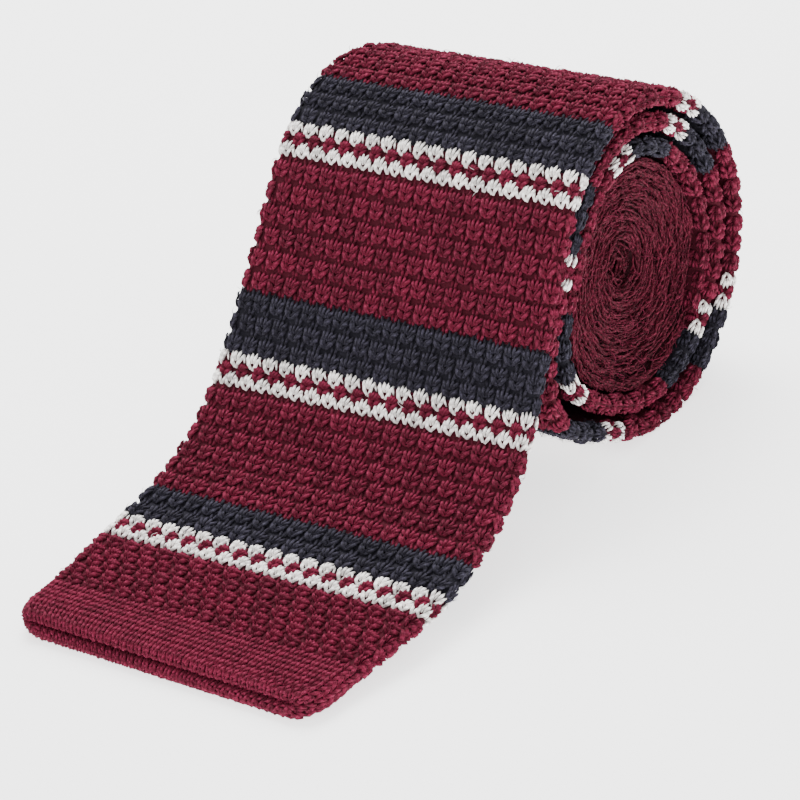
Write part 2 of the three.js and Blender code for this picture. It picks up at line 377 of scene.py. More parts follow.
# Points of the tie in millimetres: along it, across it, and out from the middle of its thickness
def tie_points(along, across, out):
    along, across, out = np.broadcast_arrays(*(np.asarray(v, float) for v in (along, across, out)))
    middle = middle_at(along)
    way = direction_at(along)
    yaw = np.interp(along, LENGTHS, YAWS)
    back = middle[..., 0] - way[..., 1] * out + across * np.sin(yaw)
    up = np.maximum(0, middle[..., 1] + way[..., 0] * out)
    return np.stack([across, back, up], -1)


def hem_tuck(along):
    return HEM_TUCK * (1 - smooth_step(along / HEM_TUCK_LENGTH))


def hem_inset(along):
    short = HEM_CORNER - np.clip(along, 0, HEM_CORNER)
    return HEM_CORNER - np.sqrt(HEM_CORNER**2 - short**2)


def blade_width(along):
    on_ramp = mix(HEM_WIDTH, JOIN_WIDTH, along / JOIN_AT) - hem_tuck(along) - 2 * hem_inset(along)
    in_roll = mix(JOIN_WIDTH, BLADE_END_WIDTH, np.clip((along - JOIN_AT) / (BLADE_END - JOIN_AT), 0, 1))
    return np.where(along < JOIN_AT, on_ramp, in_roll)


def right_edge(along):
    in_roll = JOIN_WIDTH / 2 - BLADE_RECESS * (along - JOIN_AT) / (BLADE_END - JOIN_AT)
    return np.where(along < JOIN_AT, (blade_width(along) - hem_tuck(along)) / 2, in_roll)


def blade_thickness(along):
    hem = 1 - smooth_step((along - HEM_LENGTH + HEM_EASE) / (2 * HEM_EASE))
    thinning = smooth_step((along - THINNING_FROM) / (BLADE_END - THINNING_FROM))
    return mix(mix(BLADE_THICKNESS, NECK_THICKNESS, thinning), HEM_THICKNESS, hem)


# Points of a flattened tube: column 0 is its right fold, and the outer ply comes first. Rise is out
# from the surface that the tops of the bobbles reach.
def flat_tube(along, column, columns, rise, width, edge, thickness):
    half = thickness / 2
    flat = width - thickness
    fold = math.pi * half
    round_way = 2 * flat + 2 * fold
    way = np.mod(column / columns, 1) * round_way
    out_fold = np.maximum(half + rise, 0.02)
    right = edge - half
    left = edge - width + half
    lower = way > fold / 2 + flat + fold
    turned = np.where(lower, way - round_way, way)
    on_right = np.abs(turned) < fold / 2
    on_left = (way >= fold / 2 + flat) & ~lower
    left_angle = np.where(on_left, math.pi / 2 + (way - fold / 2 - flat) / half, 0)
    angle = np.where(on_right, turned / half, left_angle)
    across = np.where(
        on_right,
        right + out_fold * np.cos(angle),
        np.where(
            on_left,
            left + out_fold * np.cos(angle),
            np.where(lower, left + way - (1.5 * fold + flat), right - (way - fold / 2)),
        ),
    )
    side = np.where(lower, -1, 1)
    out = np.where(on_right | on_left, out_fold * np.sin(angle), side * (half + rise))
    return tie_points(along, across, out)


def on_blade(along, column, rise):
    along, column, rise = np.broadcast_arrays(*(np.asarray(v, float) for v in (along, column, rise)))
    return flat_tube(
        along, column, COLUMNS, rise, blade_width(along), right_edge(along), blade_thickness(along)
    )


# The hem's knit runs down the outer face, round the edge of its ply and back up inside the slit. Its
# place is measured up the tie on the outer face and runs on past the edge.
def on_hem(place, column, rise):
    place, column, rise = np.broadcast_arrays(*(np.asarray(v, float) for v in (place, column, rise)))
    ply = np.mod(column, FINE_COLUMNS)
    half = FINE_COLUMNS / 2
    from_fold = np.where(ply < half, np.minimum(ply, half - ply), -np.minimum(ply - half, 2 * half - ply))
    edge = HEM_LIP * smooth_step(from_fold / 3 + 0.5)
    round_edge = HEM_WALL / 2
    turn = edge + round_edge
    angle = np.clip((turn - place) / round_edge, 0, math.pi)
    inside = np.maximum(turn - math.pi * round_edge - place, 0)
    along = np.maximum(place, turn) - (round_edge + rise) * np.sin(angle) + inside
    out = (round_edge + rise) * np.cos(angle) - round_edge
    return flat_tube(
        along, column, FINE_COLUMNS, out, blade_width(along), right_edge(along), blade_thickness(along)
    )


def on_neck(along, column, rise, inset=0):
    edge = JOIN_WIDTH / 2 - BLADE_RECESS - NECK_STEP - inset
    edge = edge - CORE_RECESS * (along - BLADE_END) / (TIE_LENGTH - BLADE_END)
    return flat_tube(along, column, NECK_COLUMNS, rise, NECK_WIDTH - 2 * inset, edge, NECK_THICKNESS)


def column_pitch(along, columns=COLUMNS):
    thickness = blade_thickness(along)
    return (2 * (blade_width(along) - thickness) + math.pi * thickness) / columns


def unit(vectors):
    return vectors / np.maximum(np.linalg.norm(vectors, axis=-1, keepdims=True), 1e-9)


# Places on a surface with the directions along the tie and out of the cloth
def frames_on(surface, along, column, step=0.3):
    spots = surface(along, column)
    forward = unit(surface(along + step, column) - surface(along - step, column))
    side = unit(surface(along, column + step) - surface(along, column - step))
    return spots, forward, unit(np.cross(forward, side))


def make_mesh(name, points, faces, material=None):
    mesh = bpy.data.meshes.new(name)
    mesh.from_pydata(np.asarray(points).tolist(), [], [tuple(face) for face in faces])
    mesh.validate()
    mesh.shade_smooth()
    if material:
        mesh.materials.append(material)
    return mesh


def make_object(name, mesh):
    made = bpy.data.objects.new(name, mesh)
    bpy.context.scene.collection.objects.link(made)
    return made


def set_attribute(mesh, name, values, kind="FLOAT"):
    made = mesh.attributes.new(name, kind, "POINT")
    field = "vector" if kind == "FLOAT_VECTOR" else "value"
    made.data.foreach_set(field, np.asarray(values, np.float32 if kind != "INT" else np.int32).ravel())


# Faces of a grid of rows by columns whose columns close into a ring
def ring_faces(rows, columns, first=0):
    row, column = np.meshgrid(np.arange(rows - 1), np.arange(columns), indexing="ij")
    near = first + row * columns + column
    beside = first + row * columns + (column + 1) % columns
    return np.stack([near, beside, beside + columns, near + columns], -1).reshape(-1, 4)


class Strand:
    """A short length of yarn through points, with a radius at each."""

    def __init__(self, points, radii, sides=4):
        self.points = np.array(points, float)
        self.radii = radii
        self.sides = sides

    def mesh(self):
        """Corners of the yarn, its faces, and how far its twist has turned at each corner."""
        ahead = unit(np.gradient(self.points, axis=0))
        across = unit(np.cross(ahead, (0.0, 0.0, 1.0)) + NEARLY_NOTHING)
        upward = unit(np.cross(across, ahead))
        spots = []
        for point, radius, side, up in zip(self.points, self.radii, across, upward):
            for corner in range(self.sides):
                angle = 2 * math.pi * corner / self.sides
                spots.append(point + radius * (math.cos(angle) * side + math.sin(angle) * up))
        gaps = np.linalg.norm(np.diff(self.points, axis=0), axis=1)
        turns = np.concatenate([[0], np.cumsum(gaps)]) / TWIST_PITCH
        twist = [turn + corner / self.sides for turn in turns for corner in range(self.sides)]
        rings = len(self.points)
        faces = [list(face) for face in ring_faces(rings, self.sides)]
        faces.append(list(range(self.sides))[::-1])
        faces.append([(rings - 1) * self.sides + corner for corner in range(self.sides)])
        return np.array(spots), faces, twist


def stitch_shape(name, strands, deepest):
    spots = []
    faces = []
    twist = []
    for strand in strands:
        points, sides, turned = strand.mesh()
        offset = sum(len(part) for part in spots)
        spots.append(points)
        faces += [[corner + offset for corner in face] for face in sides]
        twist += turned
    spots = np.concatenate(spots)
    made = make_object(name, make_mesh(name, spots * MM, faces))
    # Height in the stitch, which the wool turns into painted shade at the roots and a painted highlight at
    # the tops
    set_attribute(made.data, "depth", np.clip(1 + spots[:, 2] / deepest, 0, 1.2))
    set_attribute(made.data, "twist", twist)
    return made


# Yarns of the stitches. A yarn's rows say, in millimetres, how far across, along and out of the cloth
# it runs, and its radius there. Its twin is on the other side of the stitch.

# A bobble: strands that fan out over a small eye, and plump lobes that meet under it
BOBBLE = (
    ((0.14, -0.1, -0.3, 0.2), (0.32, 0.42, 0.0, 0.31), (0.42, 0.98, -0.08, 0.3), (0.36, 1.34, -0.42, 0.18)),
    (
        (0.5, -0.02, -0.25, 0.2),
        (0.84, 0.4, -0.04, 0.32),
        (1.18, 0.82, -0.14, 0.31),
        (1.36, 1.16, -0.46, 0.18),
    ),
    (
        (1.4, 0.42, -0.46, 0.24),
        (1.14, -0.28, -0.08, 0.36),
        (0.62, -0.84, -0.08, 0.38),
        (0.08, -1.2, -0.5, 0.22),
    ),
    ((0.66, -0.1, -0.28, 0.2), (0.38, -0.5, -0.12, 0.26), (0.06, -0.8, -0.34, 0.18)),
)

# The legs that run down between the bobbles
LINK = (((0.66, -0.45, -0.45, 0.22), (0.44, -1.25, -0.4, 0.3), (0.2, -2.05, -0.56, 0.24)),)

# A white stitch: a narrow foot that opens into a crown of points
TULIP = (
    ((0.1, -1.28, -0.36, 0.26), (0.6, -0.6, -0.06, 0.34), (0.94, 0.3, 0.0, 0.32), (1.1, 1.25, -0.3, 0.16)),
    ((0.2, -0.3, -0.3, 0.14), (0.28, 0.25, 0.02, 0.28), (0.38, 0.9, 0.02, 0.29), (0.44, 1.5, -0.28, 0.16)),
)

# The open stitch between two white ones
OPEN = (((0.06, -1.15, -0.4, 0.22), (0.38, -0.3, -0.12, 0.28), (0.66, 0.85, -0.36, 0.18)),)

# A plain stitch: two legs that lean together at their foot
PLAIN = (((0.13, -0.86, -0.22, 0.24), (0.36, -0.1, 0.0, 0.36), (0.6, 0.7, -0.16, 0.28)),)

# Single yarns: the loose one beside a white stitch, and one that lies along a fold
SIDE = ((-0.62, 1.0, -0.24, 0.12), (-0.42, 0.3, -0.16, 0.2), (-0.14, -0.35, -0.45, 0.14))
WRAP = (
    (0, -2.4, -0.5, 0.08),
    (0.1, -1.2, -0.02, 0.15),
    (-0.1, 0.1, 0.05, 0.18),
    (0.1, 1.3, -0.02, 0.15),
    (0, 2.4, -0.5, 0.06),
)


# A yarn whose points stray by up to a little way
def stray_yarn(rows, stray):
    points = [row[:3] for row in rows]
    return Strand(points + CHANCE.uniform(-stray, stray, (len(points), 3)), [row[3] for row in rows])


def both_sides(yarns, stray, wide=1.0):
    strands = []
    for side in (-1, 1):
        for yarn in yarns:
            strands.append(stray_yarn([(x * side * wide, y, z, radius) for x, y, z, radius in yarn], stray))
    return strands


def hair_shape(name):
    bend = CHANCE.uniform(-0.35, 0.35)
    points = [(0, 0, -0.1), (bend * 0.4, 0.3, 0.2), (bend, 0.62, 0.3), (bend * 2.2, 0.95, 0.22)]
    made = stitch_shape(name, [Strand(points, (0.04, 0.034, 0.026, 0.01), sides=3)], 1.0)
    # Painted highlight: every hair takes the light colour of the stitches' tops
    light = np.full(len(made.data.vertices), HAIR_LIGHT, np.float32)
    made.data.attributes["depth"].data.foreach_set("value", light)
    return made


class Wire:
    """A number's socket in a shader, so that shader maths reads as an expression."""

    def __init__(self, maker, socket):
        self.maker = maker
        self.socket = socket

    def _maths(self, operation, first, second=0.0):
        made = self.maker.node("ShaderNodeMath", {"operation": operation}, {0: first, 1: second})
        return Wire(self.maker, made.outputs[0])

    def __add__(self, other):
        return self._maths("ADD", self, other)

    def __radd__(self, other):
        return self._maths("ADD", other, self)

    def __sub__(self, other):
        return self._maths("SUBTRACT", self, other)

    def __rsub__(self, other):
        return self._maths("SUBTRACT", other, self)

    def __mul__(self, other):
        return self._maths("MULTIPLY", self, other)

    def __rmul__(self, other):
        return self._maths("MULTIPLY", other, self)

    def __pow__(self, other):
        return self._maths("POWER", self, other)

    def sine(self):
        return self._maths("SINE", self)

    def at_least(self, low):
        return self._maths("MAXIMUM", self, low)

    def at_most(self, high):
        return self._maths("MINIMUM", self, high)


class Maker:
    """Adds nodes to a tree: a node's settings come first, then the values or links of its sockets."""

    def __init__(self, tree):
        self.tree = tree

    def give(self, socket, value):
        value = value.socket if isinstance(value, Wire) else value
        if isinstance(value, bpy.types.NodeSocket):
            self.tree.links.new(value, socket)
        else:
            socket.default_value = value

    def node(self, kind, settings=None, values=None):
        made = self.tree.nodes.new(kind)
        for name, value in (settings or {}).items():
            setattr(made, name, value)
        for key, value in (values or {}).items():
            self.give(made.inputs[key], value)
        return made

    def chosen(self, kind, settings, values):
        """A node whose settings choose which of its like-named sockets are in use."""
        made = self.node(kind, settings)
        for socket in made.inputs:
            if socket.enabled and socket.name in values:
                self.give(socket, values[socket.name])
        return next(socket for socket in made.outputs if socket.enabled)

    def wire(self, kind, settings=None, values=None, output=0):
        return Wire(self, self.node(kind, settings, values).outputs[output])

    def named(self, attribute):
        return self.wire("ShaderNodeAttribute", {"attribute_name": attribute}, output="Fac")

    def blend(self, share, first, second, way="MIX"):
        settings = {"data_type": "RGBA", "blend_type": way}
        return self.chosen("ShaderNodeMix", settings, {"Factor": share, "A": first, "B": second})


def from_screen(red, green, blue):
    linear = []
    for value in (red, green, blue):
        value /= 255
        linear.append(value / 12.92 if value <= 0.04045 else ((value + 0.055) / 1.055) ** 2.4)
    return (*linear, 1.0)


# Wool: painted shade darkens the roots of its stitches and a painted highlight lights their tops; it is
# uneven in dye, with twisted plies and a fine fibre in its surface, which also paint stripes of shade and
# highlight and glints
def wool(name, root, body, highlight_tip, sheen, shade):
    material = bpy.data.materials.new(name)
    material.use_nodes = True
    maker = Maker(material.node_tree)
    shader = material.node_tree.nodes["Principled BSDF"]
    shader.inputs["Roughness"].default_value = 0.9
    shader.inputs["Sheen Weight"].default_value = sheen
    shader.inputs["Sheen Roughness"].default_value = 0.45
    shader.inputs["Sheen Tint"].default_value = highlight_tip
    shader.inputs["Specular IOR Level"].default_value = 0.2
    place = maker.node("ShaderNodeTexCoord").outputs["Object"]
    cloudy = maker.wire("ShaderNodeTexNoise", {}, {"Vector": place, "Scale": 180.0, "Detail": 2.0}, "Fac")
    fibre = maker.wire("ShaderNodeTexNoise", {}, {"Vector": place, "Scale": 3800.0, "Detail": 3.0}, "Fac")
    plies = (maker.named("twist") * 2 * math.pi).sine()
    depth = maker.named("depth")
    tone = maker.named("tone")
    # Share of the body colour over the root colour, whose darkness is painted shade at the roots of the
    # stitches
    raised = depth.at_least(0).at_most(1) ** 1.2
    # Painted glints: small highlights where the fibre noise is high
    glints = ((fibre - 0.58) * 5.0).at_least(0).at_most(0.7)
    # Share of the painted highlight colour: near the tops of the stitches, on the fibre, along the plies and
    # at the glints
    lit = ((depth - 0.85) * 0.6 + (fibre - 0.5) * 0.8 + plies * 0.1 + glints).at_least(0).at_most(1)
    colour = maker.blend(raised, root, body)
    colour = maker.blend(lit, colour, highlight_tip)
    # Brightness of the wool's own colour from dye clouds, fibre and random tone, scaled by shade; the plies
    # add painted shade and highlight in stripes
    change = shade * (0.8 + (cloudy - 0.5) * 0.35 + (fibre - 0.5) * 0.6 + plies * 0.24 + tone * 0.4)
    grey = maker.node("ShaderNodeCombineColor", {}, {"Red": change, "Green": change, "Blue": change})
    colour = maker.blend(1.0, colour, grey.outputs[0], "MULTIPLY")
    material.node_tree.links.new(colour, shader.inputs["Base Color"])
    relief = {"Strength": 0.6, "Distance": 0.0002, "Height": fibre + plies * 0.55}
    material.node_tree.links.new(maker.node("ShaderNodeBump", {}, relief).outputs[0], shader.inputs["Normal"])
    return material


# Each wool's root colour is painted shade and its highlight tip colour is painted highlight; its body is its
# own colour
BURGUNDY = wool(
    "burgundy wool",
    root=from_screen(78, 15, 32),
    body=from_screen(113, 26, 50),
    highlight_tip=from_screen(154, 50, 84),
    sheen=0.08,
    shade=0.74,
)
# A darker copy of the burgundy wool, painted shade for the end of the roll and its neck band
SHADED_NECK_BURGUNDY = wool(
    "burgundy wool inside the roll",
    root=from_screen(52, 11, 22),
    body=from_screen(108, 25, 46),
    highlight_tip=from_screen(166, 54, 86),
    sheen=0.08,
    shade=0.42,
)
NAVY = wool(
    "navy wool",
    root=from_screen(36, 34, 43),
    body=from_screen(45, 42, 53),
    highlight_tip=from_screen(76, 73, 89),
    sheen=0.1,
    shade=0.77,
)
WHITE = wool(
    "white wool",
    root=from_screen(176, 160, 158),
    body=from_screen(246, 241, 238),
    highlight_tip=from_screen(252, 250, 248),
    sheen=0.1,
    shade=1.14,
)
WOOLS = {"burgundy": BURGUNDY, "navy": NAVY, "white": WHITE}


# Geometry nodes that put a stitch on each point, turned along the cloth, each a little different
def stitching_tree():
    tree = bpy.data.node_groups.new("Stitches on cloth", "GeometryNodeTree")
    face = tree.interface
    face.new_socket("Geometry", in_out="INPUT", socket_type="NodeSocketGeometry")
    sockets = {}
    for name, kind in (
        ("Shapes", "NodeSocketCollection"),
        ("Yarn", "NodeSocketMaterial"),
        ("Sway", "NodeSocketFloat"),
        ("Unevenness", "NodeSocketFloat"),
        ("Seed", "NodeSocketInt"),
    ):
        sockets[name] = face.new_socket(name, in_out="INPUT", socket_type=kind).identifier
    face.new_socket("Geometry", in_out="OUTPUT", socket_type="NodeSocketGeometry")
    maker = Maker(tree)
    given = maker.node("NodeGroupInput").outputs
    shapes = maker.node(
        "GeometryNodeCollectionInfo",
        {"transform_space": "ORIGINAL"},
        {"Collection": given["Shapes"], "Separate Children": True, "Reset Children": True},
    )

    def read(name, kind="FLOAT_VECTOR"):
        made = maker.node("GeometryNodeInputNamedAttribute", {"data_type": kind}, {"Name": name})
        return made.outputs["Attribute"]

    def spread(low, high, offset):
        seed = maker.node("ShaderNodeMath", {"operation": "ADD"}, {0: given["Seed"], 1: offset})
        values = {"Min": low, "Max": high, "Seed": seed.outputs[0]}
        return maker.chosen("FunctionNodeRandomValue", {"data_type": "FLOAT_VECTOR"}, values)

    def vector(operation, values):
        return maker.node("ShaderNodeVectorMath", {"operation": operation}, values).outputs[0]

    least = (-1, -1, -1)
    most = (1, 1, 1)
    turned = maker.node(
        "FunctionNodeAxesToRotation",
        {"primary_axis": "Z", "secondary_axis": "Y"},
        {"Primary Axis": read("outward"), "Secondary Axis": read("forward")},
    )
    sway = vector("SCALE", {0: spread(least, most, 1.0), "Scale": given["Sway"]})
    swayed = maker.node(
        "FunctionNodeRotateRotation",
        {"rotation_space": "LOCAL"},
        {0: turned.outputs[0], 1: sway},
    )
    uneven = vector("SCALE", {0: spread(least, most, 2.0), "Scale": given["Unevenness"]})
    size = vector("MULTIPLY", {0: vector("ADD", {0: uneven, 1: most}), 1: read("size")})
    placed = maker.node(
        "GeometryNodeInstanceOnPoints",
        {},
        {
            "Points": given["Geometry"],
            "Instance": shapes.outputs[0],
            "Pick Instance": True,
            "Instance Index": read("shape", "INT"),
            "Rotation": swayed.outputs[0],
            "Scale": size,
        },
    )
    tone = maker.node("ShaderNodeSeparateXYZ", {}, {0: spread((0, 0, 0), most, 3.0)})
    toned = maker.chosen(
        "GeometryNodeStoreNamedAttribute",
        {"data_type": "FLOAT", "domain": "INSTANCE"},
        {"Geometry": placed.outputs[0], "Name": "tone", "Value": tone.outputs[0]},
    )
    whole = maker.node("GeometryNodeRealizeInstances", {}, {"Geometry": toned})
    dyed = maker.node(
        "GeometryNodeSetMaterial", {}, {"Geometry": whole.outputs[0], "Material": given["Yarn"]}
    )
    result = maker.node("NodeGroupOutput")
    tree.links.new(dyed.outputs[0], result.inputs[0])
    return tree, sockets


STITCHING, STITCHING_INPUTS = stitching_tree()


def plain_mesh(source, name):
    settled = bpy.context.evaluated_depsgraph_get()
    settled.update()
    mesh = bpy.data.meshes.new_from_object(source.evaluated_get(settled))
    mesh.name = name
    return mesh


def remove(thing):
    mesh = thing.data
    bpy.data.objects.remove(thing)
    bpy.data.meshes.remove(mesh)


def collection_of(name, shapes):
    made = bpy.data.collections.new(name)
    for shape in shapes:
        bpy.context.scene.collection.objects.unlink(shape)
        made.objects.link(shape)
    return made


# Puts shapes of a collection on frames of the cloth and gives their joined mesh. Frames are places
# with the directions along the tie and out of the cloth, and kind is the number of each one's shape.
def stitches(name, shapes, frames, size, kind, yarn, sway, unevenness, seed):
    spots, forward, outward = frames
    points = make_object(f"{name} places", make_mesh(f"{name} places", spots * MM, []))
    set_attribute(points.data, "forward", forward, "FLOAT_VECTOR")
    set_attribute(points.data, "outward", outward, "FLOAT_VECTOR")
    set_attribute(points.data, "size", size, "FLOAT_VECTOR")
    set_attribute(points.data, "shape", kind, "INT")
    modifier = points.modifiers.new("stitches", "NODES")
    modifier.node_group = STITCHING
    values = {"Shapes": shapes, "Yarn": yarn, "Sway": sway, "Unevenness": unevenness, "Seed": seed}
    for socket, value in values.items():
        modifier[STITCHING_INPUTS[socket]] = value
    mesh = plain_mesh(points, name)
    remove(points)
    return mesh


# Joins meshes into one piece; what would reach below the floor is pressed flat on it
def joined(name, meshes):
    things = [make_object(name, mesh) for mesh in meshes]
    if len(things) > 1:
        with bpy.context.temp_override(
            active_object=things[0], selected_objects=things, selected_editable_objects=things
        ):
            bpy.ops.object.join()
    made = things[0]
    made.name = name
    spots = np.empty(len(made.data.vertices) * 3, np.float32)
    made.data.vertices.foreach_get("co", spots)
    spots = spots.reshape(-1, 3)
    spots[:, 2] = np.maximum(spots[:, 2], 0)
    made.data.vertices.foreach_set("co", spots.ravel())
    made.data.update()
    return made


CHANCE = np.random.default_rng(41)
STITCH_KINDS = (
    ("bobble", 4, lambda: both_sides(BOBBLE, 0.08)),
    ("link", 2, lambda: both_sides(LINK, 0.08)),
    ("tulip", 3, lambda: both_sides(TULIP, 0.08)),
    ("open", 2, lambda: both_sides(OPEN, 0.06)),
    ("side", 2, lambda: [stray_yarn(SIDE, 0.1)]),
    ("dot", 2, lambda: both_sides(BOBBLE, 0.08, DOT_WIDE)),
)


# Shapes are picked by number in the order of their names: each kind's first number and its count
def knit_shapes():
    ranges = {}
    shapes = []
    for kind, count, make in STITCH_KINDS:
        ranges[kind] = (len(shapes), count)
        for _ in range(count):
            shapes.append(stitch_shape(f"{len(shapes):02d} {kind}", make(), BOBBLE_DEPTH))
    return collection_of("knit shapes", shapes), ranges


KNIT_SHAPES, SHAPE_RANGES = knit_shapes()
FINE_KINDS = 3
FINE_SHAPES = collection_of(
    "fine shapes",
    [stitch_shape(f"fine stitch {i}", both_sides(PLAIN, 0.05), deepest=0.8) for i in range(FINE_KINDS)],
)
WRAP_KINDS = 3
WRAPS = collection_of(
    "wrap yarns",
    [stitch_shape(f"wrap yarn {i}", [stray_yarn(WRAP, 0.22)], deepest=0.6) for i in range(WRAP_KINDS)],
)
HAIR_KINDS = 4
HAIRS = collection_of("hairs", [hair_shape(f"hair {i}") for i in range(HAIR_KINDS)])


def band_lengths():
    bands = [("burgundy", 1, HEM_LENGTH, HEM_LENGTH + FIRST_BURGUNDY)]
    lengths = (WHITE_LENGTH, NAVY_LENGTH, BURGUNDY_LENGTH)
    repeat = sum(lengths)
    on_ramp = HEM_LENGTH + FIRST_BURGUNDY
    on_ramp += sum(length * pull for row in STRETCH_ROWS for length, pull in zip(lengths, row))
    rolled = (BLADE_END - on_ramp) / ((BLADE_REPEATS - len(STRETCH_ROWS)) * repeat + PLAIN_END)
    start = HEM_LENGTH + FIRST_BURGUNDY
    for count in range(1, BLADE_REPEATS + 1):
        pulls = STRETCH_ROWS[count - 1] if count <= len(STRETCH_ROWS) else (rolled,) * 3
        for colour, length, pull in zip(("white", "navy", "burgundy"), lengths, pulls):
            end = start + length * pull
            if colour == "burgundy" and count == BLADE_REPEATS:
                end = BLADE_END
            bands.append((colour, count + (colour == "burgundy"), start, end))
            start = end
    return bands


# Rows of a band: where each lies, its share of a full stitch's height, its yarn, whether it stands on
# whole or half columns, its stitch and what lies between two of them
def band_rows(colour, start, end, phase):
    length = end - start
    if colour == "white":
        shares = (
            (0.26, 0.84, "white", phase, "tulip", "open"),
            (0.56, 0.86, "burgundy", phase + 1, "dot", None),
            (0.87, 0.9, "white", phase, "tulip", "side"),
        )
        return [(start + row[0] * length, *row[1:3], row[3] % 2, *row[4:]) for row in shares]
    by_the_hem = start < HEM_LENGTH + 1
    first = start + (HEM_TOP - HEM_LENGTH if by_the_hem else 0)
    full = HEM_ROW_PITCH if by_the_hem else ROW_PITCH
    count = max(1, round((end - first) / full))
    pitch = (end - first) / count
    tall = pitch / full * (HEM_ROW_TALL if by_the_hem else 1)
    rows = [
        (first + (row + 0.5) * pitch, tall, colour, (phase + 1 + row) % 2, "bobble", "link")
        for row in range(count)
    ]
    return rows + [(end + ROW_PAST_BAND, tall, colour, (phase + 1 + count) % 2, "link", None)]


# Columns of a row that show: the outer ply up to the end of the first turn, the under ply of the ramp
# and beside the core, and elsewhere only the folds
def shown_columns(along, phase):
    columns = np.arange(COLUMNS) + 0.5 * phase
    from_right = np.minimum(columns, COLUMNS - columns)
    from_left = np.abs(columns - COLUMNS / 2)
    at_folds = np.minimum(from_right, from_left) < FOLD_COLUMNS
    upper = columns < COLUMNS / 2
    outer = upper & (along < ONE_TURN_AT + OUTER_PLY_PAST_TURN)
    under = ~upper & (along > UNDER_PLY_FROM) & (along < JOIN_AT + UNDER_PLY_PAST_JOIN)
    in_core = ~upper & (along > BLADE_END - LAST_TURN) & (from_left < CORE_COLUMNS)
    return columns[at_folds | outer | under | in_core]


def columns_from_fold(column):
    across = np.mod(column, COLUMNS / 2)
    return np.minimum(across, COLUMNS / 2 - across)


# The stitches of one yarn in the rows of a band
def yarn_stitches(name, yarn, rows, seed):
    places = []
    for at, tall, _, turn, stitch, between in rows:
        shown = shown_columns(at, turn)
        every = np.ones(len(shown))
        for offset, shape in ((0, stitch), (0.5, between)):
            if shape is None:
                continue
            first, count = SHAPE_RANGES[shape]
            kinds = first + CHANCE.integers(0, count, len(shown))
            if shape == "link" and stitch == "bobble":
                kinds[columns_from_fold(shown + offset) == 0] = SHAPE_RANGES["dot"][0]
            places.append(np.stack([at * every, shown + offset, kinds, tall * every]))
    along, column, kind, tall = np.concatenate(places, axis=1)
    spots, forward, outward = frames_on(lambda s, c: on_blade(s, c, -STITCH_SINK), along, column)
    near_hem = along < HEM_LENGTH + FIRST_BURGUNDY
    at_fold = columns_from_fold(column) < FOLD_STITCH_REACH
    wide = column_pitch(along) / BOBBLE_WIDTH
    wide = wide * np.where(near_hem & (yarn == "burgundy"), HEM_STITCH_WIDE, 1)
    wide = wide * np.where(at_fold, FOLD_STITCH_WIDE, 1)
    relief = np.minimum(blade_thickness(along) / BLADE_THICKNESS, 1) * RELIEF[yarn]
    relief = relief * np.where(near_hem, HEM_RELIEF, 1)
    size = np.stack([wide, tall * FULLNESS, relief], -1)
    frames = (spots, forward, outward)
    return stitches(name, KNIT_SHAPES, frames, size, kind, WOOLS[yarn], sway=0.1, unevenness=0.07, seed=seed)


# A finished piece rides on the tie
def finished(made):
    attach(made, "root")
    return made


def knit_band(colour, number, start, end, rows, seed):
    name = f"{colour}_knit_{number}"
    yarns = sorted({row[2] for row in rows})
    meshes = [yarn_stitches(name, yarn, [row for row in rows if row[2] == yarn], seed) for yarn in yarns]
    if start < ONE_TURN_AT:
        count = int((end - start) * HAIRS_PER_MM[colour])
        along = CHANCE.uniform(start, end, count)
        column = CHANCE.uniform(-HAIR_COLUMNS_PAST_FOLD, COLUMNS / 2 + HAIR_COLUMNS_PAST_FOLD, count)
        meshes.append(fuzz(name, lambda s, c: on_blade(s, c, -0.1), along, column, 1, WOOLS[colour], seed))
    made = finished(joined(name, meshes))
    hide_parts(f"{colour}_band_{number}")
    return made


# Loose hairs that stand off the wool in every direction
def fuzz(name, surface, along, column, length, yarn, seed):
    count = len(along)
    spots, forward, outward = frames_on(surface, along, column)
    heading = CHANCE.uniform(0, 2 * math.pi, (count, 1))
    forward = np.cos(heading) * forward + np.sin(heading) * np.cross(outward, forward)
    size = np.ones((count, 3)) * CHANCE.uniform(*HAIR_SIZES, (count, 1)) * length
    kind = CHANCE.integers(0, HAIR_KINDS, count)
    frames = (spots, forward, outward)
    return stitches(name, HAIRS, frames, size, kind, yarn, sway=0.3, unevenness=0.1, seed=seed)


# Puts a thing at a place so that its Z points back from what it faces and its X points right
def aimed(place, back, right):
    back = np.array(back) / np.linalg.norm(back)
    up = np.cross(back, right)
    up /= np.linalg.norm(up)
    turned = Matrix((np.cross(up, back), up, back)).transposed().to_4x4()
    return Matrix.Translation(place) @ turned


def camera():
    data = bpy.data.cameras.new("camera")
    data.lens = CAMERA_LENS
    data.sensor_width = 36
    data.clip_start = 0.01
    made = make_object("camera", data)
    made.matrix_world = aimed(CAMERA_PLACE, CAMERA_BACK, CAMERA_RIGHT)
    bpy.context.scene.camera = made


